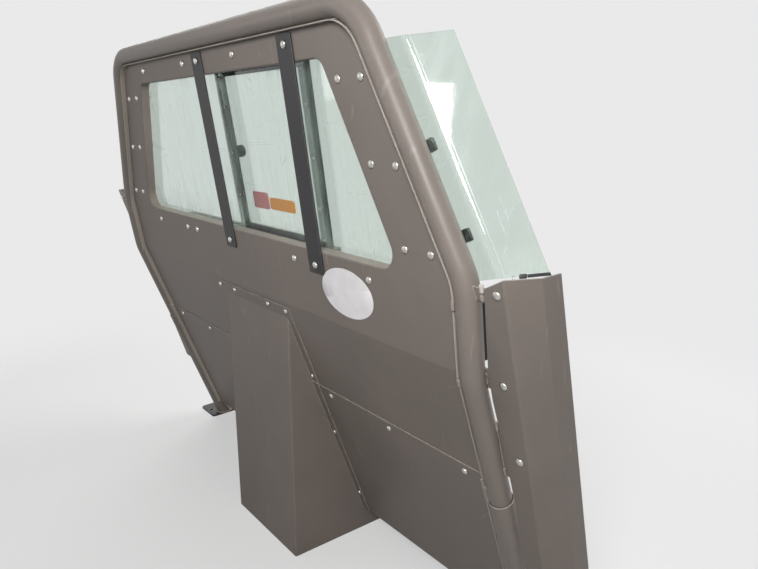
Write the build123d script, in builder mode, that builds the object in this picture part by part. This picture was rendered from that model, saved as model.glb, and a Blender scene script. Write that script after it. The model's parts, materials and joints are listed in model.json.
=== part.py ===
from build123d import *
import os
from math import cos, radians, sin, tan

os.makedirs("parts", exist_ok=True)

# Partition between the front and rear seats of a vehicle.
# X points to the vehicle's right, Y to its front and Z up; the rear seat is on the -Y side.
# The origin is midway between the four floor bolts, on the underside of the foot plates.

# Overall sizes, in millimetres and degrees
crease_height = 632.0
upper_lean = 8.0
lower_lean = 20.0
toe_lean = 45.0
wing_lean = 16.5
sheet = 2.0
fold_r = 4.0
seat_gap = 0.3
floor_gap = 1.0

# Tubular hoop and its legs
tube_r = 19.05
tube_wall = 2.1
hoop_half_width = 660.0
hoop_top_half_width = 483.0
shoulder_height = 145.0
hoop_top_height = 525.0
shoulder_radius = 110.0
corner_radius = 90.0
crease_radius = 160.0
hoop_gap = 0.5
hoop_insert = 60.0
leg_clearance = 0.9
leg_wall = 1.6
leg_top = 250.0
foot_length, foot_width, foot_thickness = 96.0, 104.0, 5.0
foot_corner_r = 10.0
foot_outset = 30.0
foot_hole_r = 5.25
foot_hole_spacing = 72.0

# Main panel and its window
window_bottom, window_top_drop = 135.0, 69.0
window_bottom_inset, window_top_inset = 136.0, 132.0
window_bottom_r, window_top_r = 30.0, 24.0
lip_depth = 22.0
lip_inner_r = 1.0
panel_overlap = 25.0
seam_drop = 210.0
toe_height = 57.0

# Cover over the floor hump
hump_centre = 6.0
hump_half_width = 136.0
hump_setback = 12.0
hump_splay = 4.5
hump_flange = 22.0
hump_flange_top = 12.0
hump_ledge = 12.0

# Window glazing, straps and sliding hatch; distances forward of the panel's rear face
pane = 5.0
pane_margin = 16.0
bolts_below_window, bolts_above_window = 27.0, 28.0
inner_bolt_inset = 105.0
outer_bolt_inset = 51.0
strap_width, strap_thickness = 44.0, 3.0
strap_left_x, strap_right_x = -38.0, 295.0
strap_lap = 4.0
rail_thickness = 3.0
rail_cover = 15.0
hatch_clearance, hatch_bed_gap = 1.5, 0.5
hatch_moving_gap = 5.2
hatch_pane = 4.0
hatch_frame = 4.0
hatch_left_shift, hatch_right_shift = 4.0, 8.0
hatch_stile = 28.0
hatch_bar = 25.0
hatch_travel, stop_gap = 270.0, 1.0
pull_r, pull_depth, pull_edge_r = 13.0, 20.0, 3.25

# Tabs that carry the panel and the side wings
tab_thickness = 3.0
tab_height = 34.0
tab_end_margin = 12.0
panel_tab_rise, panel_tab_drop = 31.0, 101.0
# For each wing tab: its lower row, its upper row beside the tube, its upper row beside the wing's bend
wing_tabs = ((131.0, 151.0, 168.0), (-17.0, 17.0, 17.0), (-184.0, -80.0, -80.0))

# Side wings, metal below and clear above
wing_origin_y = 14.0
wing_bend_outset = 70.0
wing_bend_angle = 64.4
wing_face = 55.5
wing_return = 42.0
wing_top, wing_bottom = 172.0, -430.0
# The wing's edge beside the tube, from the bottom up: distance out from the tube's axis, and row
wing_inner = ((31.0, -430.0), (31.0, -230.0), (27.0, -137.0), (19.5, -36.0), (19.5, 14.0), (37.0, 153.0))
clear_bend_outset = 42.0
clear_tail = 50.0
clear_face = 66.0
clear_bend_angle = 50.0
clear_bend_r = 8.0
clear_low, clear_top = 155.0, 470.0
clear_edge_rise, clear_edge_fall = 0.3, 0.26
trim_wall, trim_depth, trim_start = 2.0, 2.0, 38.0

# Brackets for the door pillars
bracket_reach = 62.0
bracket_thickness = 5.0
bracket_low, bracket_high = 20.0, 110.0
bracket_hole_r = 5.25
bracket_hole_spacing = 50.0

# Places that follow from the sizes above; past_all is a length that reaches beyond every piece
past_all = 2 * crease_height
leg_r = tube_r + leg_clearance + leg_wall
window_top = hoop_top_height - window_top_drop
bolt_row_low, bolt_row_high = window_bottom - bolts_below_window, window_top + bolts_above_window
tab_row_low, tab_row_high = shoulder_height + panel_tab_rise, hoop_top_height - panel_tab_drop
panel_tab_rows = (tab_row_low, (tab_row_low + tab_row_high) / 2, tab_row_high)
toe_drop = (crease_height - toe_height) / cos(radians(lower_lean))
wing_bend_x = hoop_half_width + wing_bend_outset
hatch_left, hatch_right = strap_left_x + hatch_left_shift, strap_right_x + hatch_right_shift

# Reference planes: each leans back at the top and faces the rear seat
crease_y = -crease_height * tan(radians(lower_lean))


def leaning(angle, y, z):
    """Plane through (0, y, z), its normal towards the rear seat, its Y axis up the slope."""
    turn = radians(angle)
    return Plane(origin=(0, y, z), x_dir=(1, 0, 0), z_dir=(0, -cos(turn), -sin(turn)))


def across(angle, x, y, z):
    """Plane square to X: its X axis points forward of the leaning plane, its Y axis up the slope."""
    turn = radians(angle)
    return Plane(origin=(x, y, z), x_dir=(0, cos(turn), sin(turn)), z_dir=(1, 0, 0))


upper = leaning(upper_lean, crease_y, crease_height)
lower = leaning(lower_lean, crease_y, crease_height)
extension = lower.offset(sheet)
toe_line = extension.from_local_coords((0, -toe_drop, 0))
toe = leaning(toe_lean, toe_line.Y, toe_line.Z)
wing_plane = leaning(wing_lean, crease_y + wing_origin_y, crease_height)

# Slope of the hoop's sides above the shoulder, as a share of height
hoop_slope = (hoop_half_width - hoop_top_half_width) / (hoop_top_height - shoulder_height)


def hoop_x(height):
    """Half width of the hoop's centre line at a height up the upper slope."""
    return hoop_half_width - max(0.0, height - shoulder_height) * hoop_slope


def inset(points, distance):
    """Corners of a convex outline, given anticlockwise, moved inwards by a distance."""
    count = len(points)
    lines = []
    for i in range(count):
        (x0, y0), (x1, y1) = points[i], points[(i + 1) % count]
        length = ((x1 - x0) ** 2 + (y1 - y0) ** 2) ** 0.5
        nx, ny = -(y1 - y0) / length, (x1 - x0) / length
        lines.append((nx, ny, nx * x0 + ny * y0 + distance))
    corners = []
    for i in range(count):
        (a, b, e), (c, d, f) = lines[i - 1], lines[i]
        det = a * d - b * c
        corners.append(((e * d - b * f) / det, (a * f - e * c) / det))
    return corners


def folded(points, back, front):
    """Closed outline of a folded sheet whose faces lie back and front of a bent line, to its left."""
    sides = []
    for distance in (back, front):
        line = []
        for i, (x, y) in enumerate(points):
            before = points[max(i - 1, 0)]
            after = points[min(i + 1, len(points) - 1)]
            into = (Vector(x, y) - Vector(*before)).normalized() if i else None
            out = (Vector(*after) - Vector(x, y)).normalized() if i < len(points) - 1 else into
            into = into or out
            normal = Vector(-into.Y - out.Y, into.X + out.X)
            reach = 2 * distance / normal.length ** 2
            line.append((x + normal.X * reach, y + normal.Y * reach))
        sides.append(line)
    return sides[0] + sides[1][::-1]


def mirrored(half):
    """Closed outline, anticlockwise, from its right half listed from the bottom up."""
    return half + [(-x, y) for x, y in reversed(half)]


hoop_outline = mirrored(
    [(hoop_half_width, 0), (hoop_half_width, shoulder_height), (hoop_top_half_width, hoop_top_height)]
)
window_outline = mirrored(
    [
        (hoop_x(window_bottom) - window_bottom_inset, window_bottom),
        (hoop_x(window_top) - window_top_inset, window_top),
    ]
)
window_radii = [window_bottom_r, window_top_r, window_top_r, window_bottom_r]

# Hoop: one bent tube with the tabs that the panel and the wings bolt to
hoop_points = [lower.from_local_coords((hoop_half_width, -leg_top - hoop_insert, 0))]
hoop_points += [upper.from_local_coords((x, y, 0)) for x, y in hoop_outline]
hoop_points += [lower.from_local_coords((-hoop_half_width, -leg_top - hoop_insert, 0))]
hoop_radii = [crease_radius, shoulder_radius, corner_radius, corner_radius, shoulder_radius, crease_radius]

with BuildPart() as hoop_frame:
    with BuildLine() as hoop_path:
        FilletPolyline(*hoop_points, radius=hoop_radii)
    hoop_end = Plane(origin=hoop_path.line @ 0, z_dir=hoop_path.line % 0)
    with BuildSketch(hoop_end):
        Circle(tube_r)
    sweep(path=hoop_path.line)
    for side in (-1, 1):
        with BuildSketch(upper.offset(-sheet)):
            for row in panel_tab_rows:
                reach = outer_bolt_inset + tab_end_margin
                with Locations((side * (hoop_x(row) - reach / 2), row)):
                    Rectangle(reach, tab_height)
        extrude(amount=-tab_thickness)
        with BuildSketch(wing_plane.offset(-sheet)):
            for low, high_near, high_far in wing_tabs:
                tab_end = wing_bend_outset - fold_r
                corner = wing_inner[-1][0]
                tab = [(0, low), (tab_end, low), (tab_end, high_far), (corner, high_near), (0, high_near)]
                with BuildLine():
                    Polyline(*[(side * (hoop_half_width + x), row) for x, row in tab], close=True)
                make_face()
        extrude(amount=-tab_thickness)
    with BuildSketch(hoop_end):
        Circle(tube_r - tube_wall)
    sweep(path=hoop_path.line, mode=Mode.SUBTRACT)
hoop_frame.part.label = "hoop_frame"
export_step(hoop_frame.part, "parts/hoop_frame.step")

# Legs: sleeves over the hoop's ends, cut level on bolted foot plates
for name, side in (("right", 1), ("left", -1)):
    leg_origin = lower.from_local_coords((side * hoop_half_width, -leg_top, 0))
    leg_plane = Plane(origin=leg_origin, x_dir=(1, 0, 0), z_dir=-lower.y_dir)
    with BuildPart() as leg:
        with BuildSketch(leg_plane):
            Circle(leg_r)
            Circle(leg_r - leg_wall, mode=Mode.SUBTRACT)
        extrude(amount=crease_height)
        split(bisect_by=Plane.XY.offset(foot_thickness), keep=Keep.TOP)
    leg.part.label = "leg_" + name
    export_step(leg.part, "parts/leg_" + name + ".step")

    with BuildPart() as foot:
        with BuildSketch(Plane.XY):
            with Locations((side * (hoop_half_width + foot_outset), 0)):
                RectangleRounded(foot_length, foot_width, foot_corner_r)
                with GridLocations(0, foot_hole_spacing, 1, 2):
                    Circle(foot_hole_r, mode=Mode.SUBTRACT)
        extrude(amount=foot_thickness)
    foot.part.label = "foot_" + name
    export_step(foot.part, "parts/foot_" + name + ".step")

# Plan of the hump cover, in the row's X and Y
hump_y = crease_y + hump_setback
hump_depth = toe_line.Y + toe_line.Z * tan(radians(toe_lean)) + hump_flange - hump_y


def hump_plan(grow, start):
    """Trapezoid that widens forwards, from start behind or ahead of the rear plate."""
    spread = tan(radians(hump_splay))
    near = hump_half_width + grow + start * spread
    far = hump_half_width + grow + hump_depth * spread
    return [
        (hump_centre - near, hump_y + start),
        (hump_centre + near, hump_y + start),
        (hump_centre + far, hump_y + hump_depth),
        (hump_centre - far, hump_y + hump_depth),
    ]


# Main panel: folded sheet with a lipped window and a cut-out over the floor hump
panel_outline = inset(hoop_outline, tube_r + hoop_gap)
panel_edge = hoop_half_width - tube_r - hoop_gap
shoulder_r, corner_r = shoulder_radius - tube_r, corner_radius - tube_r


def round_fold(part, fold):
    """Rounds a sheet's fold across the vehicle, first its rear edge and then its front edge."""
    for place, radius in ((0, fold_r + sheet), (-1, fold_r)):
        along_fold = part.edges().filter_by(Axis.X)
        near = along_fold.filter_by_position(Axis.Z, fold.Z - sheet, fold.Z + sheet)
        fillet(near.sort_by(Axis.Y)[place], radius)


def window_edges(part, depth):
    """Edges around the window at a depth forward of the panel's rear face."""

    def around_window(edge):
        place = upper.to_local_coords(edge.center())
        in_height = window_bottom - 2 * sheet < place.Y < window_top + 2 * sheet
        in_width = abs(place.X) < hoop_x(place.Y) - inner_bolt_inset
        return in_height and in_width and abs(place.Z + depth) < 0.01

    return part.edges().filter_by(around_window)


with BuildPart() as main_panel:
    with BuildSketch(upper):
        with BuildLine():
            (x1, y1), (x2, y2) = panel_outline[1], panel_outline[2]
            FilletPolyline(
                (panel_edge, 0), (x1, y1), (x2, y2), (-x2, y2), (-x1, y1), (-panel_edge, 0),
                radius=[0, shoulder_r, corner_r, corner_r, shoulder_r, 0],
                close=True,
            )
        make_face()
    extrude(amount=-sheet)
    with BuildSketch(lower):
        with Locations((0, -(seam_drop + panel_overlap) / 2)):
            Rectangle(2 * panel_edge, seam_drop + panel_overlap)
    extrude(amount=-sheet)
    round_fold(main_panel, Vector(0, crease_y, crease_height))
    with BuildSketch(upper):
        with BuildLine():
            outer_radii = [r + sheet for r in window_radii]
            FilletPolyline(*inset(window_outline, -sheet), radius=outer_radii, close=True)
        make_face()
    extrude(amount=-lip_depth)
    fillet(window_edges(main_panel, sheet), lip_inner_r)
    with BuildSketch(upper):
        with BuildLine():
            FilletPolyline(*window_outline, radius=window_radii, close=True)
        make_face()
    extrude(amount=-lip_depth, mode=Mode.SUBTRACT)
    fillet(window_edges(main_panel, 0), lip_inner_r + sheet)
    with BuildSketch(Plane.XY):
        with BuildLine():
            Polyline(*hump_plan(-hump_ledge, hump_ledge), close=True)
        make_face()
    extrude(amount=crease_height, mode=Mode.SUBTRACT)
main_panel.part.label = "main_panel"
export_step(main_panel.part, "parts/main_panel.step")

# Lower panels: bolted over the main panel's lower edge, with a toe down to the floor
lower_edge = hoop_half_width - leg_r - hoop_gap
for name, side in (("right", 1), ("left", -1)):
    with BuildPart() as lower_panel:
        with BuildSketch(extension):
            with Locations((side * lower_edge / 2, -(seam_drop + toe_drop) / 2)):
                Rectangle(lower_edge, toe_drop - seam_drop)
        extrude(amount=-sheet)
        with BuildSketch(toe):
            with Locations((side * lower_edge / 2, -past_all / 2)):
                Rectangle(lower_edge, past_all)
        extrude(amount=-sheet)
        round_fold(lower_panel, toe_line)
        split(bisect_by=Plane.XY.offset(floor_gap), keep=Keep.TOP)
        with BuildSketch(Plane.XY):
            with BuildLine():
                Polyline(*hump_plan(-hump_ledge, hump_ledge), close=True)
            make_face()
        extrude(amount=crease_height, mode=Mode.SUBTRACT)
    lower_panel.part.label = "lower_panel_" + name
    export_step(lower_panel.part, "parts/lower_panel_" + name + ".step")

# Hump cover: a splayed channel standing on the floor, flanged onto the sloping panels
flange_step = seam_drop - hoop_gap
with BuildPart() as hump_cover:
    flange = ((lower, hump_flange_top, flange_step), (extension, flange_step - sheet, toe_drop))
    for face, top, bottom in flange:
        with BuildSketch(face):
            with Locations((hump_centre, -(top + bottom) / 2)):
                Rectangle(past_all, bottom - top)
        extrude(amount=sheet)
    with BuildSketch(Plane.XY):
        with BuildLine():
            Polyline(*hump_plan(hump_flange, -hump_depth), close=True)
        make_face()
    extrude(amount=past_all, mode=Mode.INTERSECT)
    with BuildSketch(Plane.XY.offset(floor_gap)):
        with BuildLine():
            FilletPolyline(*hump_plan(0, 0), radius=[fold_r, fold_r, 0, 0], close=True)
        make_face()
    extrude(amount=crease_height - hump_flange_top)
    with BuildSketch(Plane.XY):
        with BuildLine():
            bend_r = fold_r - sheet
            FilletPolyline(*hump_plan(-sheet, sheet), radius=[bend_r, bend_r, 0, 0], close=True)
        make_face()
    extrude(amount=crease_height, mode=Mode.SUBTRACT)
    for face, low, high in ((lower, -seam_drop, crease_height), (extension, -toe_drop, -seam_drop)):
        with BuildSketch(face):
            with Locations((hump_centre, (low + high) / 2)):
                Rectangle(past_all, high - low)
        extrude(amount=-past_all, mode=Mode.SUBTRACT)
    with BuildSketch(toe):
        with Locations((hump_centre, -past_all / 2)):
            Rectangle(past_all, past_all)
    extrude(amount=-past_all, mode=Mode.SUBTRACT)
hump_cover.part.label = "hump_cover"
export_step(hump_cover.part, "parts/hump_cover.step")

# Metal wings: folded sheets that run forward around the door pillars
turn = radians(wing_bend_angle)
bend_2 = (wing_bend_x + wing_face * cos(turn), wing_face * sin(turn))
for name, side in (("right", 1), ("left", -1)):
    wing_end = wing_plane.from_local_coords((0, wing_bottom, 0))
    with BuildPart() as wing:
        with BuildSketch(Plane.XY.offset(wing_end.Z)):
            with BuildLine():
                line = [(hoop_half_width, 0), (wing_bend_x, 0), bend_2, (bend_2[0], bend_2[1] + wing_return)]
                outline = [(side * x, wing_end.Y + y) for x, y in folded(line, 0, sheet)]
                bends = [0, fold_r + sheet, fold_r + sheet, 0, 0, fold_r, fold_r, 0]
                FilletPolyline(*outline, radius=bends, close=True)
            make_face()
        extrude(amount=wing_top - wing_bottom, dir=wing_plane.y_dir)
        with BuildSketch(wing_plane):
            with BuildLine():
                waste = [(0, wing_bottom - sheet), (wing_inner[0][0], wing_bottom - sheet), *wing_inner]
                waste += [(wing_bend_outset, wing_top), (0, wing_top)]
                Polyline(*[(side * (hoop_half_width + x), row) for x, row in waste], close=True)
            make_face()
        extrude(amount=2 * sheet, both=True, mode=Mode.SUBTRACT)
    wing.part.label = "wing_" + name
    export_step(wing.part, "parts/wing_" + name + ".step")

# Clear wings: bent panes ahead of the hoop's slanting sides, with rubber trim on their lower edges
clear_plane = upper.offset(-tube_r - seat_gap)
clear_end = Plane(origin=upper.from_local_coords((0, clear_top, 0)), z_dir=upper.y_dir)
clear_turn = radians(clear_bend_angle)
clear_length = 2 * (clear_top - shoulder_height)
for name, side in (("right", 1), ("left", -1)):
    along = Vector(-side * hoop_slope, 1, 0).normalized()
    along_slope = clear_plane.x_dir * along.X + clear_plane.y_dir * along.Y
    outward = (clear_plane.x_dir * along.Y - clear_plane.y_dir * along.X) * side
    middle = (shoulder_height + clear_top) / 2
    bend = clear_plane.from_local_coords((side * (hoop_x(middle) + clear_bend_outset), middle, 0))
    bend_plane = Plane(origin=bend - along_slope * (clear_length / 2), x_dir=outward, z_dir=along_slope)
    corner = clear_plane.from_local_coords((side * (hoop_x(clear_low) + clear_bend_outset), clear_low, 0))
    square = upper.y_dir - upper.x_dir * (side * clear_edge_rise) - upper.z_dir * clear_edge_fall
    clear_edge = Plane(origin=corner, z_dir=square)
    line = [(-clear_tail, 0), (0, 0), (clear_face * cos(clear_turn), clear_face * sin(clear_turn))]
    bends = [0, clear_bend_r + pane, 0, 0, clear_bend_r, 0]

    with BuildPart() as wing_pane:
        with BuildSketch(bend_plane):
            with BuildLine():
                FilletPolyline(*[(x, side * y) for x, y in folded(line, 0, pane)], radius=bends, close=True)
            make_face()
        extrude(amount=clear_length)
        split(bisect_by=clear_end, keep=Keep.BOTTOM)
        split(bisect_by=clear_edge, keep=Keep.TOP)
    wing_pane.part.label = "wing_pane_" + name
    export_step(wing_pane.part, "parts/wing_pane_" + name + ".step")

    with BuildPart() as trim_slot:
        with BuildSketch(bend_plane):
            with BuildLine():
                outline = folded([(0, 0), (2 * line[2][0], 2 * line[2][1])], -seat_gap, pane + seat_gap)
                Polyline(*[(x, side * y) for x, y in outline], close=True)
            make_face()
        extrude(amount=clear_length)
        split(bisect_by=clear_edge.offset(-seat_gap), keep=Keep.TOP)
    edge = [(trim_start * cos(clear_turn), trim_start * sin(clear_turn)), line[2]]
    with BuildPart() as wing_trim:
        with BuildSketch(bend_plane):
            with BuildLine():
                outline = folded(edge, -seat_gap - trim_wall, pane + seat_gap + trim_wall)
                Polyline(*[(x, side * y) for x, y in outline], close=True)
            make_face()
        extrude(amount=clear_length)
        split(bisect_by=clear_edge.offset(trim_depth), keep=Keep.BOTTOM)
        split(bisect_by=clear_edge.offset(-seat_gap - trim_wall), keep=Keep.TOP)
        add(trim_slot.part, mode=Mode.SUBTRACT)
    wing_trim.part.label = "wing_trim_" + name
    export_step(wing_trim.part, "parts/wing_trim_" + name + ".step")

# Fixed side windows, bolted against the lip's forward edge on each side of the pass-through
glazing = upper.offset(-lip_depth - seat_gap)
pane_low, pane_high = bolt_row_low - pane_margin, bolt_row_high + pane_margin
pane_inset = inner_bolt_inset - pane_margin
for name, side, strap_x in (("right", 1, strap_right_x), ("left", -1, strap_left_x)):
    inner_edge = strap_x - side * (strap_width / 2 + strap_lap)
    with BuildPart() as window:
        with BuildSketch(glazing):
            with BuildLine():
                FilletPolyline(
                    (inner_edge, pane_low),
                    (side * (hoop_x(0) - pane_inset), pane_low),
                    (side * (hoop_x(shoulder_height) - pane_inset), shoulder_height),
                    (side * (hoop_x(pane_high) - pane_inset), pane_high),
                    (inner_edge, pane_high),
                    radius=[0, pane_margin, 0, pane_margin, 0],
                    close=True,
                )
            make_face()
        extrude(amount=-pane)
    window.part.label = "side_window_" + name
    export_step(window.part, "parts/side_window_" + name + ".step")

    with BuildPart() as strap:
        with BuildSketch(upper):
            with Locations((strap_x, (pane_low + pane_high) / 2)):
                RectangleRounded(strap_width, pane_high - pane_low, strap_thickness)
        extrude(amount=strap_thickness)
    strap.part.label = "strap_" + name
    export_step(strap.part, "parts/strap_" + name + ".step")

# Sliding hatch: pane and steel frame that run in two channels bolted over the windows' edges
hatch_back = lip_depth + seat_gap + pane + hatch_moving_gap
hatch_front = hatch_back + hatch_pane + hatch_frame
channel_back = lip_depth + 2 * seat_gap + pane
hatch_low = pane_low + pane_margin + rail_thickness + rail_cover / 2
hatch_high = pane_high - pane_margin - rail_thickness - rail_cover / 2
rail_left = hatch_left - hatch_travel - rail_cover
rail_right = hatch_right + rail_cover
stops = ((rail_left, hatch_left - hatch_travel - stop_gap), (hatch_right + stop_gap, rail_right))
for name, edge, outer, inward in (("low", hatch_low, pane_low, 1), ("high", hatch_high, pane_high, -1)):
    floor = edge - inward * hatch_bed_gap
    lip_end = edge + inward * rail_cover
    channel_front = hatch_front + hatch_clearance
    with BuildPart() as rail:
        with BuildSketch(across(upper_lean, rail_left, crease_y, crease_height)):
            with BuildLine():
                Polyline(
                    (channel_back, outer),
                    (channel_back + rail_thickness, outer),
                    (channel_back + rail_thickness, floor - inward * rail_thickness),
                    (channel_front + rail_thickness, floor - inward * rail_thickness),
                    (channel_front + rail_thickness, lip_end),
                    (channel_front, lip_end),
                    (channel_front, floor),
                    (channel_back + rail_thickness, floor),
                    (channel_back + rail_thickness, lip_end),
                    (channel_back, lip_end),
                    close=True,
                )
            make_face()
        extrude(amount=rail_right - rail_left)
        for start, end in stops:
            with BuildSketch(across(upper_lean, start, crease_y, crease_height)):
                with Locations(((channel_back + rail_thickness + channel_front) / 2, (floor + lip_end) / 2)):
                    Rectangle(channel_front - channel_back - rail_thickness, abs(lip_end - floor))
            extrude(amount=end - start)
    rail.part.label = "hatch_rail_" + name
    export_step(rail.part, "parts/hatch_rail_" + name + ".step")

hatch_middle = ((hatch_left + hatch_right) / 2, (hatch_low + hatch_high) / 2)
hatch_width, hatch_height = hatch_right - hatch_left, hatch_high - hatch_low
with BuildPart() as hatch_window:
    with BuildSketch(upper.offset(-hatch_back)):
        with Locations(hatch_middle):
            Rectangle(hatch_width, hatch_height)
    extrude(amount=-hatch_pane)
hatch_window.part.label = "hatch_window"
export_step(hatch_window.part, "parts/hatch_window.step")

with BuildPart() as hatch_surround:
    with BuildSketch(upper.offset(-hatch_back - hatch_pane)):
        with Locations(hatch_middle):
            Rectangle(hatch_width, hatch_height)
            RectangleRounded(
                hatch_width - 2 * hatch_stile, hatch_height - 2 * hatch_bar, hatch_frame, mode=Mode.SUBTRACT
            )
    extrude(amount=-hatch_frame)
hatch_surround.part.label = "hatch_frame"
export_step(hatch_surround.part, "parts/hatch_frame.step")

with BuildPart() as pull:
    with BuildSketch(upper.offset(-hatch_front)):
        with Locations((hatch_left + hatch_stile / 2, hatch_middle[1])):
            Circle(pull_r)
    extrude(amount=-pull_depth)
    fillet(pull.faces().sort_by(Axis.Y)[-1].edges(), pull_edge_r)
pull.part.label = "hatch_pull"
export_step(pull.part, "parts/hatch_pull.step")

# Brackets on the hoop for the bolts of the door pillars
for name, side in (("right", 1), ("left", -1)):
    low = upper.from_local_coords((0, bracket_low, -tube_r - seat_gap))
    high = upper.from_local_coords((0, bracket_high, -tube_r - seat_gap))
    with BuildPart() as bracket:
        with BuildSketch(Plane.YZ.offset(side * hoop_half_width - bracket_thickness / 2)):
            with BuildLine():
                Polyline(
                    (low.Y, low.Z), (low.Y + bracket_reach, low.Z),
                    (low.Y + bracket_reach, high.Z), (high.Y, high.Z), close=True,
                )
            make_face()
            with Locations((low.Y + bracket_reach / 2, (low.Z + high.Z) / 2)):
                with GridLocations(0, bracket_hole_spacing, 1, 2):
                    Circle(bracket_hole_r, mode=Mode.SUBTRACT)
        extrude(amount=bracket_thickness)
    bracket.part.label = "pillar_bracket_" + name
    export_step(bracket.part, "parts/pillar_bracket_" + name + ".step")
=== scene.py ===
import json
import bpy
import numpy as np
from mathutils import Matrix, Vector


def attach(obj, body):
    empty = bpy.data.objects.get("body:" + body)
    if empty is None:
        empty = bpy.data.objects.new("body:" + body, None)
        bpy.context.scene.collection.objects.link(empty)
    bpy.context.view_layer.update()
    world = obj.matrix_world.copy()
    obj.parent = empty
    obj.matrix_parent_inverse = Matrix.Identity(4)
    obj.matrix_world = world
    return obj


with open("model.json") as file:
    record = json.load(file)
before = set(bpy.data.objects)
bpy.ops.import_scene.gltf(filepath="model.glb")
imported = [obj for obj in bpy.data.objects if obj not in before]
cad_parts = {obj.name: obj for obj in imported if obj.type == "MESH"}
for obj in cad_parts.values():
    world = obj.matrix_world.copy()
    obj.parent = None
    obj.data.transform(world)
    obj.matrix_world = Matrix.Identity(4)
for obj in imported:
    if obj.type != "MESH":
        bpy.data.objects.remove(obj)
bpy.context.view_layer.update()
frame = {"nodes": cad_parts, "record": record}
nodes = frame["nodes"]
print("frame loaded:", len(nodes), "nodes")

# Where the partition's sheets and tubes lie, in metres and degrees; x is to the right, y forward, z up
layout = {
    "creaseHeight": 0.632,  # above the floor, of the fold between upper and lower panel
    "upperLean": 8.0,
    "lowerLean": 20.0,
    "wingLean": 16.5,
    "wingForward": 0.014,
    "sheet": 0.002,
    "strap": 0.003,
    "tubeRadius": 0.01905,
    "hoopHalfWidth": 0.660,
    "hoopTopHalfWidth": 0.483,
    "shoulderHeight": 0.145,  # up the upper panel from the crease
    "hoopTopHeight": 0.525,
    "paneBack": 0.0223,  # forward of the panel's rear side, as the next four are
    "paneFront": 0.0273,
    "railFront": 0.0306,
    "tabFront": 0.005,
    "hatchPaneBack": 0.0325,
    "humpCentre": 0.006,
    "legRadius": 0.02155,
    "legWall": 0.0016,
    "legTop": -0.250,  # rows of the lower panel lie below the crease
    "panelGap": 0.0005,
    "shoulderRadius": 0.110,
    "cornerRadius": 0.090,
    "seamRow": -0.210,
    "toeRow": -0.612,
    "footTop": 0.005,
    "bracketHalf": 0.0025,
    "clearBack": 0.01935,
    "clearThickness": 0.005,
    "clearOutset": 0.042,
    "clearTurn": 50.0,
    "clearBend": (0.0385, 0.0443),  # where the bend starts and ends, outwards from the slanting tube
    "clearLow": 0.155,
    "clearRise": 0.3,  # slopes of the lower edge outwards and forwards
    "clearFall": 0.26,
}

# The photograph's camera: its place, where it looks, and its focal length in pixels of a frame 758 wide
view = {
    "place": (1.1743, -0.8501, 0.9798),
    "turnLeft": 49.34,
    "lookDown": 14.68,
    "roll": 0.26,
    "focalPixels": 594.4,
    "frameWidth": 758,
    "sensorWidth": 36.0,
}


# Forward is the y axis turned left and tipped down; right and up follow from it, then both turn by the roll
def aimCamera(view):
    left, down, roll = np.radians([view["turnLeft"], view["lookDown"], view["roll"]])
    forward = np.array([-np.sin(left) * np.cos(down), np.cos(left) * np.cos(down), -np.sin(down)])
    right = np.array([np.cos(left), np.sin(left), 0.0])
    up = np.cross(right, forward)
    matrix = np.eye(4)
    matrix[:3, 0] = np.cos(roll) * right + np.sin(roll) * up
    matrix[:3, 1] = np.cos(roll) * up - np.sin(roll) * right
    matrix[:3, 2] = -forward
    matrix[:3, 3] = view["place"]
    data = bpy.data.cameras.new("photoCamera")
    data.sensor_width = view["sensorWidth"]
    data.lens = view["focalPixels"] * view["sensorWidth"] / view["frameWidth"]
    camera = bpy.data.objects.new("photoCamera", data)
    bpy.context.scene.collection.objects.link(camera)
    camera.matrix_world = Matrix(matrix.tolist())
    bpy.context.scene.camera = camera


aimCamera(view)
print("camera placed")


# Surfaces


# Axes of a leaning face, one per row: x along the crease, up the slope, and out of it to the rear
def faceAxes(lean):
    turn = np.radians(lean)
    return np.array([[1, 0, 0], [0, -np.sin(turn), np.cos(turn)], [0, -np.cos(turn), -np.sin(turn)]])


creaseY = -layout["creaseHeight"] * np.tan(np.radians(layout["lowerLean"]))
crease = np.array([0, creaseY, layout["creaseHeight"]])
faces = {
    "upper": (faceAxes(layout["upperLean"]), crease),
    "lower": (faceAxes(layout["lowerLean"]), crease),
    "wing": (faceAxes(layout["wingLean"]), crease + [0, layout["wingForward"], 0]),
}


# Rows (x, height up the face, distance out of it) become points: the crease's middle plus shares of the axes
def onFace(face, places):
    axes, middle = faces[face]
    return np.asarray(places, float) @ axes + middle


# Equal steps of angle once round
def circle(segments):
    return np.arange(segments) * 2 * np.pi / segments


# What the hoop's half width loses for each metre of height above the shoulder
hoopNarrowing = layout["hoopHalfWidth"] - layout["hoopTopHalfWidth"]
hoopSlope = hoopNarrowing / (layout["hoopTopHeight"] - layout["shoulderHeight"])


# Half width of the hoop's centre line: constant up to the shoulder, then less in proportion to height
def hoopX(height):
    rise = np.maximum(0, np.asarray(height, float) - layout["shoulderHeight"])
    return layout["hoopHalfWidth"] - rise * hoopSlope


# A closed shell from rings of points: walls between neighbouring rings, and a fan from each end to its tip
def shell(rings, tips):
    count, around = rings.shape[:2]
    grid = np.arange(count * around).reshape(count, around)
    beside = np.roll(grid, -1, axis=1)
    walls = np.stack([grid[:-1], beside[:-1], beside[1:], grid[1:]], -1).reshape(-1, 4)
    start = np.stack([np.full(around, count * around), beside[0], grid[0]], -1)
    end = np.stack([np.full(around, count * around + 1), grid[-1], beside[-1]], -1)
    return np.vstack([rings.reshape(-1, 3), tips]), [walls, start, end]


# A strip that is closed by a fan to the middle of each end ring
def strip(rings):
    return shell(rings, rings[[0, -1]].mean(1))


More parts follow.
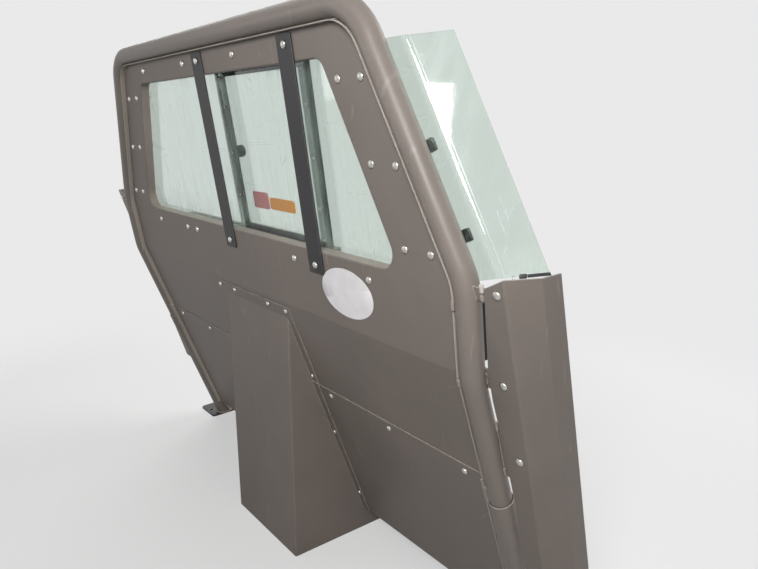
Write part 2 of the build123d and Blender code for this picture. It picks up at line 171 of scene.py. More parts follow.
# A solid turned about its own z axis from a profile of (radius, height) that starts and ends on the axis:
# the point at angle a of ring k is (r·w·cos a, r·w·sin a, h), with w the width for that angle and ring
def turnedSolid(profile, widths):
    profile, widths = np.asarray(profile, float), np.asarray(widths, float)
    angles = circle(widths.shape[-1])
    radius = profile[1:-1, 0][:, None] * widths
    rings = np.stack([radius * np.cos(angles), radius * np.sin(angles), 0 * radius], -1)
    rings[:, :, 2] = profile[1:-1, 1][:, None]
    return shell(rings, [[0, 0, profile[0, 1]], [0, 0, profile[-1, 1]]])


# Copies of one solid: point p stands at place + p.x·U + p.y·V + p.z·N, with U, V, N the copy's own axes
def placed(solid, places, axes):
    points, groups = solid
    places = np.asarray(places, float)
    axes = np.broadcast_to(np.asarray(axes, float), (len(places), 3, 3))
    copies = np.einsum("pk,mkc->mpc", points, axes) + places[:, None, :]
    steps = np.arange(len(places))[:, None, None] * len(points)
    return copies.reshape(-1, 3), [(g[None] + steps).reshape(-1, g.shape[1]) for g in groups]


# Several meshes as one: the corner numbers of each go up by the points before it
def joined(*meshes):
    points, groups, before = [], [], 0
    for some, parts in meshes:
        points.append(some)
        groups += [g + before for g in parts]
        before += len(some)
    return np.vstack(points), groups


# A round bead along a path: ring k lies square to the path at point k, with that point's radius, pressed
# flatter by a share, and each tip stands a share of the radius beyond the end
def bead(path, radii, look):
    along = np.gradient(path, axis=0)
    along /= np.linalg.norm(along, axis=1, keepdims=True)
    side = np.cross(along, [0.0, 0.0, 1.0])
    upright = np.linalg.norm(side, axis=1, keepdims=True) < look["upright"]  # there x gives the side, not z
    side = np.where(upright, np.cross(along, [1.0, 0.0, 0.0]), side)
    side /= np.linalg.norm(side, axis=1, keepdims=True)
    over = look["flat"] * np.cross(side, along)
    angles = circle(look["segments"])[None, :, None]
    rings = side[:, None] * np.cos(angles) + over[:, None] * np.sin(angles)
    rings = path[:, None] + rings * radii[:, None, None]
    tip = look["tip"] * radii
    points, groups = shell(rings, [path[0] - tip[0] * along[0], path[-1] + tip[-1] * along[-1]])
    return points, [np.roll(g[:, ::-1], 1, axis=1) for g in groups]  # turned over: these rings run backwards


# A round ring about z: the point at turn a and section angle b is
# ((R + r·cos b)·cos a, (R + r·cos b)·sin a, r·sin b)
def ring(radius, thick, steps, segments):
    turn, section = circle(steps)[:, None], circle(segments)[None, :]
    reach = radius + thick * np.cos(section)
    points = np.stack([reach * np.cos(turn), reach * np.sin(turn), thick * np.sin(section) + 0 * turn], -1)
    grid = np.arange(steps * segments).reshape(steps, segments)
    ahead, over = np.roll(grid, -1, axis=0), np.roll(grid, -1, axis=1)
    quads = np.stack([grid, ahead, np.roll(ahead, -1, axis=1), over], -1).reshape(-1, 4)
    return points.reshape(-1, 3), [quads]


# Widths of a regular polygon against angle: its flats lie at 1, its corners at 1 / cos of half a side's turn
def polygon(sides, segments):
    half = np.pi / sides
    return 1 / np.cos((circle(segments) + half) % (2 * half) - half)


# Widths of a rounded rectangle of half sizes a and b: the superellipse (|cos|/a)^n + (|sin|/b)^n = 1 / r^n
def roundedRectangle(a, b, power, segments):
    across, up = np.abs(np.cos(circle(segments))), np.abs(np.sin(circle(segments)))
    return ((across / a) ** power + (up / b) ** power) ** (-1 / power)


# A flat plate with a rounded rectangle's outline. Its top edge is a quarter circle: a ring at angle t of it
# is drawn in by edge·(1 - cos t) and lies at thickness - edge·(1 - sin t)
def roundedPlate(half, thickness, edge, segments, look):
    turn = np.linspace(0, np.pi / 2, look["edgeSteps"])
    drawnIn = np.concatenate([[0], edge * (1 - np.cos(turn))])
    heights = np.concatenate([[0], thickness - edge * (1 - np.sin(turn))])
    widths = [roundedRectangle(half[0] - d, half[1] - d, look["squareness"], segments) for d in drawnIn]
    profile = np.column_stack([np.ones(len(heights)), heights])
    return turnedSolid(np.vstack([[0, 0], profile, [0, thickness]]), np.stack(widths))


# Puts a mesh in the scene, smooth where its faces meet at a shallow angle, and rides it on a body
def addPiece(name, mesh, material, body="partition", slot=None, sharpAngle=35):
    points, groups = mesh
    data = bpy.data.meshes.new(name)
    data.from_pydata(points.tolist(), [], [f for g in groups for f in g.tolist()])
    data.validate()
    data.shade_smooth()
    data.set_sharp_from_angle(angle=np.radians(sharpAngle))
    data.materials.append(material)
    piece = bpy.data.objects.new(name, data)
    bpy.context.scene.collection.objects.link(piece)
    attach(piece, body)


# Materials


# A colour as it shows on screen, from 0 to 255, taken by the usual screen curve to a shader's linear values
def shown(red, green, blue):
    share = np.array([red, green, blue]) / 255
    linear = np.where(share <= 0.04045, share / 12.92, ((share + 0.055) / 1.055) ** 2.4)
    return (*linear.tolist(), 1.0)


# Adds a shader node: options are its own settings, sockets gives each input a value or another node's output
def addNode(tree, kind, sockets=None, **options):
    node = tree.nodes.new("ShaderNode" + kind)
    for name, value in options.items():
        setattr(node, name, value)
    for name, value in (sockets or {}).items():
        if isinstance(value, bpy.types.NodeSocket):
            tree.links.new(value, node.inputs[name])
        else:
            node.inputs[name].default_value = value
    return node


# An empty material and its tree of shader nodes
def newMaterial(name):
    material = bpy.data.materials.new(name)
    material.use_nodes = True
    material.node_tree.nodes.clear()
    return material, material.node_tree


# Where a point lies in its own piece's coordinates
def objectPlace(tree):
    return addNode(tree, "TexCoord").outputs["Object"]


def worldNormal(tree):
    return addNode(tree, "NewGeometry").outputs["Normal"]


# The object's own coordinates, stretched along each axis and then turned, so that a pattern runs in streaks
def streaked(tree, stretch, turn):
    sockets = {"Vector": objectPlace(tree), "Scale": stretch, "Rotation": np.radians(turn).tolist()}
    return addNode(tree, "Mapping", sockets).outputs[0]


# Noise on the object's own coordinates, from 0 to 1
def noise(tree, scale, detail=2.0, roughness=0.5, stretch=(1, 1, 1), turn=(0, 0, 0)):
    place = streaked(tree, stretch, turn)
    sockets = {"Vector": place, "Scale": scale, "Detail": detail, "Roughness": roughness}
    return addNode(tree, "TexNoise", sockets).outputs[0]


# A value taken from one range to another and kept inside it
def ranged(tree, value, low, high, toLow=0.0, toHigh=1.0):
    sockets = {"Value": value, "From Min": low, "From Max": high, "To Min": toLow, "To Max": toHigh}
    return addNode(tree, "MapRange", sockets, clamp=True).outputs[0]


# One step of arithmetic on values or sockets
def sums(tree, operation, first, second=0.0):
    return addNode(tree, "Math", {0: first, 1: second}, operation=operation).outputs[0]


# A mix of two colours: inputs 6 and 7 and output 2 are the node's colour sockets
def mixed(tree, share, first, second):
    return addNode(tree, "Mix", {0: share, 6: first, 7: second}, data_type="RGBA").outputs[2]


# A bump of the height, as strong and as deep as the look says
def bumped(tree, look, height, **sockets):
    sockets.update({"Strength": look["bump"], "Distance": look["bumpDepth"], "Height": height})
    return addNode(tree, "Bump", sockets).outputs[0]


scratchPatch = {"noise": (3.0, 0.7), "span": (0.54, 0.64)}


# Long straight scratches: the borders between stretched cells, kept only where a cloudy noise is high
def scratches(tree, scale, stretch, turn, thin, patch):
    sockets = {"Vector": streaked(tree, stretch, turn), "Scale": scale}
    border = addNode(tree, "TexVoronoi", sockets, feature="DISTANCE_TO_EDGE").outputs["Distance"]
    near = ranged(tree, border, 0.0, thin, 1.0, 0.0)
    kept = ranged(tree, noise(tree, patch, *scratchPatch["noise"]), *scratchPatch["span"])
    return sums(tree, "MULTIPLY", near, kept)


# How much a surface looks up, from 0 on a wall to 1 on a shelf
def facingUp(tree, span):
    return ranged(tree, addNode(tree, "SeparateXYZ", {0: worldNormal(tree)}).outputs["Z"], *span)


# Powder coat: two close tones in clouds, a fine grain, dust on what faces up, and a light tone on edges,
# part worn coat and part painted highlight, found where a rounded edge's normal leaves the true one
def powderCoat(name, look):
    material, tree = newMaterial(name)
    cloud, grain, peel = [noise(tree, *look[kind]) for kind in ("cloud", "grain", "peel")]
    colour = mixed(tree, ranged(tree, cloud, *look["cloudSpan"]), look["dark"], look["light"])
    flecks = ranged(tree, grain, *look["grainSpan"], 0.0, look["speckle"])
    colour = mixed(tree, flecks, colour, look["fleck"])
    scuffs = sums(tree, "MULTIPLY", scratches(tree, **look["scuffs"]), look["scuff"])
    colour = mixed(tree, scuffs, colour, look["rubbedAndEdgeHighlight"])
    dust = ranged(tree, noise(tree, *look["dustNoise"]), *look["dustSpan"])
    dust = sums(tree, "MULTIPLY", facingUp(tree, look["dustSlope"]), dust)
    colour = mixed(tree, sums(tree, "MULTIPLY", dust, look["dust"]), colour, look["dustColour"])
    bevel = addNode(tree, "Bevel", {"Radius": look["edge"]}, samples=look["edgeSamples"]).outputs[0]
    normals = {0: bevel, 1: worldNormal(tree)}
    same = addNode(tree, "VectorMath", normals, operation="DOT_PRODUCT").outputs["Value"]
    # Every edge is lightened by at least a set share, a painted highlight; chips of real wear add to it
    chips = ranged(tree, noise(tree, *look["chips"]), *look["chipSpan"], look["edgeHighlightFloor"], 1.0)
    wornAndLitEdges = sums(tree, "MULTIPLY", ranged(tree, same, *look["edgeSpan"]), chips)
    colour = mixed(tree, sums(tree, "MULTIPLY", wornAndLitEdges, look["edgeWearAndHighlight"]), colour, look["rubbedAndEdgeHighlight"])
    rough = ranged(tree, cloud, *look["glossSpan"], *look["gloss"])
    rough = sums(tree, "ADD", rough, sums(tree, "MULTIPLY", dust, look["dustRough"]))
    height = sums(tree, "ADD", sums(tree, "MULTIPLY", grain, look["grainDepth"]), peel)
    coat = addNode(tree, "BsdfPrincipled", {
        "Base Color": colour,
        "Roughness": rough,
        "Specular IOR Level": look["specular"],
        "Normal": bumped(tree, look, height, Normal=bevel),
    })
    addNode(tree, "OutputMaterial", {"Surface": coat.outputs[0]})
    return material


# A noise is a scale, then its detail and roughness; a span is the part of a value's range that is used
taupeLook = {
    "light": shown(125, 116, 110),
    "dark": shown(116, 108, 102),
    "cloud": (4.0, 4.0, 0.6),
    "cloudSpan": (0.35, 0.65),
    "fleck": shown(140, 131, 124),
    "speckle": 0.35,
    "grain": (900.0, 2.0, 0.6),
    "grainSpan": (0.5, 0.8),
    "grainDepth": 0.8,
    "peel": (260.0, 1.0),
    # The tone of rubbed scuffs, also the painted highlight laid on every edge
    "rubbedAndEdgeHighlight": shown(214, 206, 197),
    "scuff": 0.12,
    "scuffs": {"scale": 9.0, "stretch": (1.0, 1.0, 0.09), "turn": (0, 24, 0), "thin": 0.010, "patch": 13.0},
    "dust": 0.5,
    "dustColour": shown(158, 151, 141),
    "dustNoise": (24.0, 5.0, 0.7),
    "dustSpan": (0.3, 0.7),
    "dustSlope": (0.15, 1.0),
    "dustRough": 0.25,
    "edge": 0.0016,
    "edgeSamples": 4,
    "edgeSpan": (0.99, 0.85),
    "edgeWearAndHighlight": 0.9,
    "edgeHighlightFloor": 0.6,
    "chips": (60.0, 4.0, 0.7),
    "chipSpan": (0.35, 0.65),
    "gloss": (0.42, 0.52),
    "glossSpan": (0.3, 0.7),
    "specular": 0.2,
    "bump": 0.28,
    "bumpDepth": 0.0004,
}
tubeLook = dict(taupeLook, gloss=(0.36, 0.44), specular=0.34)
# Welds in the same coat, tinted lighter than the panels: the lighter tone is a painted highlight
weldHighlightLook = dict(taupeLook, light=shown(150, 141, 133), dark=shown(130, 122, 115), gloss=(0.28, 0.40))
# Near-white tab welds: a painted highlight
tabWeldHighlightLook = dict(weldHighlightLook, light=shown(206, 200, 192), dark=shown(168, 161, 152))
# A lighter coat for the upturned panel edges: a painted highlight along them
edgeHighlightLook = dict(taupeLook, light=shown(172, 164, 156), dark=shown(154, 146, 138), edgeHighlightFloor=0.85)
blackLook = dict(
    taupeLook,
    light=shown(52, 52, 54),
    dark=shown(45, 45, 47),
    fleck=shown(66, 66, 68),
    rubbedAndEdgeHighlight=shown(150, 148, 144),
    dustColour=shown(96, 94, 90),
    speckle=0.25,
    gloss=(0.34, 0.44),
    edgeWearAndHighlight=0.6,
)


# Painted highlight lines where a clear wing is bent, only on the surface a ray enters: the distance out
# from the slanting tube, the same on both sides, is compared with the places where the bend starts and ends
def bendHighlights(tree, look):
    right, up, out = faces["upper"][0]
    away = (right + hoopSlope * up) / np.hypot(1, hoopSlope)
    shoulder = onFace("upper", [(layout["hoopHalfWidth"], layout["shoulderHeight"], 0)])[0]
    x, y, z = addNode(tree, "SeparateXYZ", {0: objectPlace(tree)}).outputs
    mirrored = addNode(tree, "CombineXYZ", {0: sums(tree, "ABSOLUTE", x), 1: y, 2: z}).outputs[0]
    sockets = {0: mirrored, 1: away.tolist()}
    reach = addNode(tree, "VectorMath", sockets, operation="DOT_PRODUCT").outputs["Value"]
    bends = [float(shoulder @ away) + place for place in layout["clearBend"]]
    near = [sums(tree, "ABSOLUTE", sums(tree, "SUBTRACT", reach, bend)) for bend in bends]
    bendHighlight = ranged(tree, sums(tree, "MINIMUM", *near), look["bendHighlightWidth"] / 2, look["bendHighlightWidth"], 1.0, 0.0)
    outside = sums(tree, "SUBTRACT", 1.0, addNode(tree, "NewGeometry").outputs["Backfacing"])
    return sums(tree, "MULTIPLY", bendHighlight, outside)


# Clear plastic: glass that lets lamps through, hazed by wiping, scratches and dirt along its lower edges,
# with painted highlight lines at its bends
def clearPlastic(name, look):
    material, tree = newMaterial(name)
    smear = ranged(tree, noise(tree, *look["smearNoise"]), *look["smearSpan"])
    wipes = ranged(tree, noise(tree, *look["wipes"]), *look["wipeSpan"])
    smear = sums(tree, "MULTIPLY", sums(tree, "MULTIPLY", smear, wipes), look["smear"])
    scratchesAndBendHighlights = bendHighlights(tree, look)
    for scratch in look["scratches"]:
        scratchesAndBendHighlights = sums(tree, "MAXIMUM", scratchesAndBendHighlights, scratches(tree, **scratch))
    height = addNode(tree, "SeparateXYZ", {0: objectPlace(tree)}).outputs["Z"]
    low = ranged(tree, height, *look["dirtHeights"], 1.0, 0.0)
    settled = ranged(tree, noise(tree, *look["dirtNoise"]), *look["dirtSpan"])
    dirt = sums(tree, "MULTIPLY", sums(tree, "MULTIPLY", low, settled), look["dirt"])
    # The haze also carries the painted highlight lines of the bends
    haze = sums(tree, "ADD", sums(tree, "ADD", smear, dirt), sums(tree, "MULTIPLY", scratchesAndBendHighlights, look["scratchesAndBendHighlights"]))
    haze = addNode(tree, "Math", {0: haze, 1: look["haze"]}, operation="ADD", use_clamp=True).outputs[0]
    plastic = addNode(tree, "BsdfPrincipled", {
        "Base Color": mixed(tree, haze, look["clear"], look["milky"]),
        "Roughness": ranged(tree, haze, 0.0, 1.0, *look["gloss"]),
        "Transmission Weight": ranged(tree, haze, 0.0, 1.0, 1.0, look["leastClear"]),
        "IOR": look["ior"],
        "Normal": bumped(tree, look, noise(tree, *look["ripple"])),
    })
    shadow = addNode(tree, "BsdfTransparent", {"Color": look["shade"]})
    lampRay = addNode(tree, "LightPath").outputs["Is Shadow Ray"]
    both = addNode(tree, "MixShader", {0: lampRay, 1: plastic.outputs[0], 2: shadow.outputs[0]})
    addNode(tree, "OutputMaterial", {"Surface": both.outputs[0]})
    return material


paneLook = {
    "clear": shown(216, 228, 221),
    "milky": shown(190, 198, 192),
    "shade": (0.72, 0.76, 0.73, 1.0),
    "haze": 0.03,
    "smear": 0.30,
    "smearNoise": (5.0, 3.0, 0.6),
    "smearSpan": (0.35, 0.7),
    "wipes": (9.0, 3.0, 0.6, (6.0, 1.0, 0.8), (0, -22, 0)),  # with a stretch and a turn in degrees
    "wipeSpan": (0.42, 0.72),
    "scratchesAndBendHighlights": 0.50,
    "scratches": (
        {"scale": 14.0, "stretch": (1.0, 1.0, 0.07), "turn": (0, 12, 0), "thin": 0.010, "patch": 9.0},
        {"scale": 11.0, "stretch": (0.08, 1.0, 1.0), "turn": (0, 17, 0), "thin": 0.008, "patch": 12.0},
        {"scale": 17.0, "stretch": (1.0, 1.0, 0.10), "turn": (0, 56, 0), "thin": 0.010, "patch": 15.0},
    ),
    "bendHighlightWidth": 0.0007,
    "dirt": 0.40,
    "dirtNoise": (16.0, 5.0, 0.7, (1.0, 1.0, 0.5)),
    "dirtSpan": (0.38, 0.66),
    "dirtHeights": (0.765, 0.835),  # thickest at the first height, gone at the second
    "leastClear": 0.35,
    "gloss": (0.03, 0.35),
    "ior": 1.58,
    "ripple": (30.0, 1.0),
    "bump": 0.05,
    "bumpDepth": 0.0002,
}


# Plain hardware: one tone varied by clouds, with a matching change of gloss and a small bump
def hardware(name, look):
    material, tree = newMaterial(name)
    cloud = noise(tree, *look["cloud"])
    metal = addNode(tree, "BsdfPrincipled", {
        "Base Color": mixed(tree, ranged(tree, cloud, *look["cloudSpan"]), look["light"], look["dark"]),
        "Roughness": ranged(tree, cloud, *look["glossSpan"], *look["gloss"]),
        "Metallic": look["metal"],
        "Normal": bumped(tree, look, noise(tree, *look["grain"])),
    })
    addNode(tree, "OutputMaterial", {"Surface": metal.outputs[0]})
    return material


zincLook = {
    "light": shown(205, 203, 198),
    "dark": shown(168, 165, 158),
    "cloud": (180.0, 4.0, 0.65),
    "cloudSpan": (0.35, 0.68),
    "gloss": (0.26, 0.42),
    "glossSpan": (0.3, 0.7),
    "grain": (900.0, 2.0),
    "bump": 0.12,
    "bumpDepth": 0.0003,
    "metal": 1.0,
}
rubberLook = dict(
    zincLook, light=shown(30, 30, 31), dark=shown(22, 22, 23), gloss=(0.6, 0.75), bump=0.4, metal=0.0
)
plasticLook = dict(rubberLook, light=shown(34, 34, 36), dark=shown(27, 27, 29), gloss=(0.4, 0.5), bump=0.25)
vinylLook = dict(
    rubberLook,
    light=shown(238, 235, 237),
    dark=shown(228, 224, 227),
    cloud=(30.0, 4.0, 0.65),
    gloss=(0.28, 0.4),
    bump=0.08,
)
redVinylLook = dict(vinylLook, light=shown(176, 112, 108), dark=shown(164, 124, 121))
orangeVinylLook = dict(vinylLook, light=shown(204, 140, 54), dark=shown(186, 136, 76))

materials = {
    "taupe_coat": powderCoat("taupeCoat", taupeLook),
    "black_coat": powderCoat("blackCoat", blackLook),
    "tubeCoat": powderCoat("tubeCoat", tubeLook),
    "clear_plastic": clearPlastic("clearPlastic", paneLook),
    "black_rubber": hardware("blackRubber", rubberLook),
    "black_plastic": hardware("blackPlastic", plasticLook),
    "weld": powderCoat("coatedWeldHighlight", weldHighlightLook),
    "tabWeldHighlight": powderCoat("tabWeldHighlight", tabWeldHighlightLook),
    "edgeHighlightCoat": powderCoat("edgeHighlightCoat", edgeHighlightLook),
    "zinc": hardware("zinc", zincLook),
    "whiteVinyl": hardware("whiteVinyl", vinylLook),
    "redVinyl": hardware("redVinyl", redVinylLook),
    "orangeVinyl": hardware("orangeVinyl", orangeVinylLook),
}

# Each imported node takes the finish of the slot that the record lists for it, and the tubes a smoother coat
tubeNodes = ("hoop_frame", "leg_right", "leg_left")
for entry in frame["record"]["subparts"]:
    finish = "tubeCoat" if entry["node"] in tubeNodes else entry["material_slot"]
    coated = nodes[entry["node"]].data
    coated.materials.clear()
    coated.materials.append(materials[finish])
print("materials made:", len(materials))


# Bolts, with a domed head on the rear side and a washer, nut and thread end on the front side
boltLook = {
    "segments": 24,
    "headRadius": 0.0068,
    "headHeight": 0.0036,
    "rimHeight": 0.0007,
    "rimFoot": 0.97,
    "domeSteps": 8,
    "washerRadius": 0.0064,
    "washerHeight": 0.0012,
    "nutSides": 6,
    "nutHalfWidth": 0.005,
    "nutHeight": 0.0052,
    "nutFoot": (0.97, 0.0004),  # share of the width at the face, and the chamfer's height
    "nutTop": (0.9, 0.0005),
    "threadRadius": 0.003,
    "threadLength": 0.011,
    "threadRidges": 8,
    "threadDepth": 0.1,
    "threadSegments": 16,
    "spacerRadius": 0.0065,
}


# A low dome: above the rim its radius falls as the cosine, and its height grows as the sine, of an angle
# that goes from 0 to a right angle
def domedHead(look, radius):
    turn = np.linspace(0, np.pi / 2, look["domeSteps"])
    dome = np.stack([radius * np.cos(turn), look["rimHeight"] + look["headHeight"] * np.sin(turn)], -1)
    return turnedSolid([[0, 0], [radius * look["rimFoot"], 0], *dome.tolist()], np.ones(look["segments"]))


# A plain round sleeve or washer, from 0 up to its length
def sleeve(radius, length, segments):
    return turnedSolid([[0, 0], [radius, 0], [radius, length], [0, length]], np.ones(segments))


# Washer below, six-sided nut with a chamfered top on it, and a thread end whose ridges go in and out
def nutStack(look):
    low, high = look["washerHeight"], look["washerHeight"] + look["nutHeight"]
    washer = sleeve(look["washerRadius"], low, look["segments"])
    (foot, footHeight), (top, topHeight) = look["nutFoot"], look["nutTop"]
    nut = [[0, low], [foot, low], [1, low + footHeight], [1, high - topHeight], [top, high], [0, high]]
    nut = turnedSolid(np.array(nut) * [look["nutHalfWidth"], 1], polygon(look["nutSides"], look["segments"]))
    ridge = np.arange(look["threadRidges"] * 2 + 1)
    radius = look["threadRadius"] * (1 - look["threadDepth"] * (ridge % 2))
    height = high + ridge * (look["threadLength"] - high) / ridge[-1]
    thread = [[0, low], *np.stack([radius, height], -1).tolist(), [0, height[-1]]]
    return joined(washer, nut, turnedSolid(thread, np.ones(look["threadSegments"])))


# Each row of places is x, height up the face, how far out the head sits and how far forward the nut sits
def boltGroup(name, face, places, look, headRadius=boltLook["headRadius"]):
    places = np.asarray(places, float)
    axes = faces[face][0]
    flipped = axes * np.array([[-1], [1], [-1]])
    heads = placed(domedHead(look, headRadius), onFace(face, places[:, :3]), axes)
    addPiece(name + "Heads", heads, materials["zinc"])
    behind = np.column_stack([places[:, :2], -places[:, 3]])
    addPiece(name + "Nuts", placed(nutStack(look), onFace(face, behind), flipped), materials["zinc"])


upperBolts = {
    "topRow": 0.484,
    "topPlaces": (-0.340, -0.112, 0.112),
    "lowRow": 0.108,
    "lowPlaces": (-0.445, -0.270, -0.215, 0.221, 0.445),
    "strapPlaces": (-0.038, 0.295),
    "pairRows": (0.176, 0.300, 0.424),
    "innerInset": 0.105,
    "outerInset": 0.051,
    "railReach": 0.319,
}


# Bolts round the window: a row above and one below with the straps' ends in both, and pairs up the sides
def windowBolts(bolts):
    rows = []
    for row, places in ((bolts["topRow"], bolts["topPlaces"]), (bolts["lowRow"], bolts["lowPlaces"])):
        for x in places:
            front = layout["railFront"] if abs(x) < bolts["railReach"] else layout["paneFront"]
            rows.append((x, row, 0, front))
        for x in bolts["strapPlaces"]:
            rows.append((x, row, layout["strap"], layout["railFront"]))
    for row in bolts["pairRows"]:
        for side in (-1, 1):
            rows.append((side * (hoopX(row) - bolts["innerInset"]), row, 0, layout["paneFront"]))
            rows.append((side * (hoopX(row) - bolts["outerInset"]), row, 0, layout["tabFront"]))
    return rows


windowRows = windowBolts(upperBolts)
boltGroup("windowBolt", "upper", windowRows, boltLook)

# Sleeves that hold the panes off the panel, one round each bolt whose nut lies beyond the panes
deep = np.array([r for r in windowRows if r[3] > layout["tabFront"]])
sleeveSolid = sleeve(boltLook["spacerRadius"], layout["paneBack"] - layout["sheet"], boltLook["segments"])
sleevePlaces = onFace("upper", np.column_stack([deep[:, :2], np.full(len(deep), -layout["paneBack"])]))
addPiece("paneSleeves", placed(sleeveSolid, sleevePlaces, faces["upper"][0]), materials["zinc"])

seamBolts = {
    "row": -0.226,
    "places": (-0.575, -0.385, 0.208, 0.397, 0.591),
    "depths": (0.002, 0.002),  # how far out the head sits, and how far forward the nut
    "headRadius": 0.0060,
}
seamRows = [(x, seamBolts["row"], *seamBolts["depths"]) for x in seamBolts["places"]]
boltGroup("seamBolt", "lower", seamRows, boltLook, seamBolts["headRadius"])

# The hump cover's flange steps over the lower panels below the seam, so the bolts there have other depths
humpBolts = {
    "top": ((-0.150, -0.022), (-0.076, -0.022), (0.076, -0.022), (0.149, -0.022)),
    "side": ((0.148, -0.191), (0.155, -0.352), (0.162, -0.549)),
    "upperDepths": (0.002, 0.002),
    "lowerDepths": (0.004, 0.0),
    "headRadius": 0.0056,
}
humpRows = [(*place, *humpBolts["upperDepths"]) for place in humpBolts["top"]]
for x, up in humpBolts["side"]:
    depths = humpBolts["upperDepths" if up > layout["seamRow"] else "lowerDepths"]
    humpRows += [(layout["humpCentre"] + side * x, up, *depths) for side in (-1, 1)]
boltGroup("humpBolt", "lower", humpRows, boltLook, humpBolts["headRadius"])

wingBolts = {"places": ((0.717, 0.148), (0.705, 0.0), (0.714, -0.136)), "depths": (0, 0.005)}
wingRows = [(side * x, row, *wingBolts["depths"]) for x, row in wingBolts["places"] for side in (-1, 1)]
boltGroup("wingBolt", "wing", wingRows, boltLook)
print("bolts made:", len(windowRows) + len(seamRows) + len(humpRows) + len(wingRows))

# Rivets that hold the hatch's pane on its steel frame
hatchRivets = {"x": (-0.020, 0.289), "rows": (0.145, 0.204, 0.296, 0.388, 0.447), "radius": 0.0032}
rivetPlaces = [(x, row, -layout["hatchPaneBack"]) for x in hatchRivets["x"] for row in hatchRivets["rows"]]
rivets = placed(domedHead(boltLook, hatchRivets["radius"]), onFace("upper", rivetPlaces), faces["upper"][0])
addPiece("hatchRivets", rivets, materials["zinc"], body="hatch")

# Weld beads, each made on both sides: rows give where it starts and ends up its face
weldBeads = {
    "radius": 0.0029,
    "flat": 0.8,
    "tip": 0.5,
    "upright": 0.2,
    "lumps": 0.14,
    "lumpMiddle": 0.6,
    "lumpLength": 0.0026,
    "taperPower": 6,
    "leastTaper": 0.06,
    "steps": 48,
    "segments": 14,
    "sharpAngle": 60,
    "seat": 0.0008,  # how far a bead's middle stands off its sheet
    "panelUpper": ((0.104, 0.124),),
    "panelLower": ((-0.016, 0.0), (-0.262, -0.224)),
    "besideTube": 0.0190,
    "panelOut": 0.0105,
    "panelRadius": 0.0038,
    "wingTabs": ((-0.010, 0.011), (-0.096, -0.077), (-0.183, -0.167)),
    "tabGap": 0.0012,
    "tabTop": {"x": 0.0303, "rows": (0.1435, 0.158), "radius": 0.0036},
    "tabLug": {"x": 0.0288, "rows": (0.131, 0.142), "radius": 0.0033},
    "panelTabs": ((0.163, 0.189), (0.287, 0.313), (0.411, 0.437)),
    "bracket": ((0.024, 0.052), (0.078, 0.106)),
    "bracketSeat": 0.0006,
    "footStart": 1.2,
    "footTurn": 6.9,  # a little over one turn, so its ends overlap
    "footSteps": 192,
    "footReach": 0.0010,
    "footRise": 0.0012,
    "footRadius": 0.0034,
}


# A weld's radius swells and sinks along it like a row of overlapping drops, and falls at both ends: at length
# s it is r·(1 + lumps·(|cos(π·s / drop)| - middle)) times the taper
def weldBead(path, radius, weld):
    length = np.linalg.norm(np.diff(path, axis=0), axis=1).sum()
    share = np.linspace(0, 1, len(path))
    drops = np.abs(np.cos(np.pi * share * length / weld["lumpLength"]))
    drops = 1 + weld["lumps"] * (drops - weld["lumpMiddle"])
    taper = np.sqrt(np.clip(1 - np.abs(2 * share - 1) ** weld["taperPower"], weld["leastTaper"], 1))
    return bead(path, radius * drops * taper, weld)


# A straight path on a face from one row to another: x and out are numbers or arrays as long as the path
def faceLine(face, x, rows, out, steps):
    up = np.linspace(rows[0], rows[1], steps)
    return onFace(face, np.column_stack([np.broadcast_to(x, up.shape), up, np.broadcast_to(out, up.shape)]))


# A tab's face leaves the tube sqrt(r² - d²) from the tube's axis, with d the face's distance from the axis
def tabRoot(up, out):
    points = onFace("wing", np.column_stack([0 * up, up, np.full(len(up), out)]))
    upper, lower = [(points - faces[name][1]) @ faces[name][0][2] for name in ("upper", "lower")]
    depth = np.where(points[:, 2] > layout["creaseHeight"], upper, lower)
    return layout["hoopHalfWidth"] + np.sqrt(layout["tubeRadius"] ** 2 - depth ** 2)


# The bead round a leg's foot: an ellipse, longer by 1 / cos of the lean where the level plate cuts the leg
def footBead(side, weld):
    turn = np.linspace(0, weld["footTurn"], weld["footSteps"]) + weld["footStart"]
    reach = layout["legRadius"] + weld["footReach"]
    lean = np.radians(layout["lowerLean"])
    middle = creaseY + (layout["creaseHeight"] - layout["footTop"]) * np.tan(lean)
    path = np.column_stack([
        side * layout["hoopHalfWidth"] + reach * np.cos(turn),
        middle + reach * np.sin(turn) / np.cos(lean),
        np.full(len(turn), layout["footTop"] + weld["footRise"]),
    ])
    return weldBead(path, weld["footRadius"], weld)


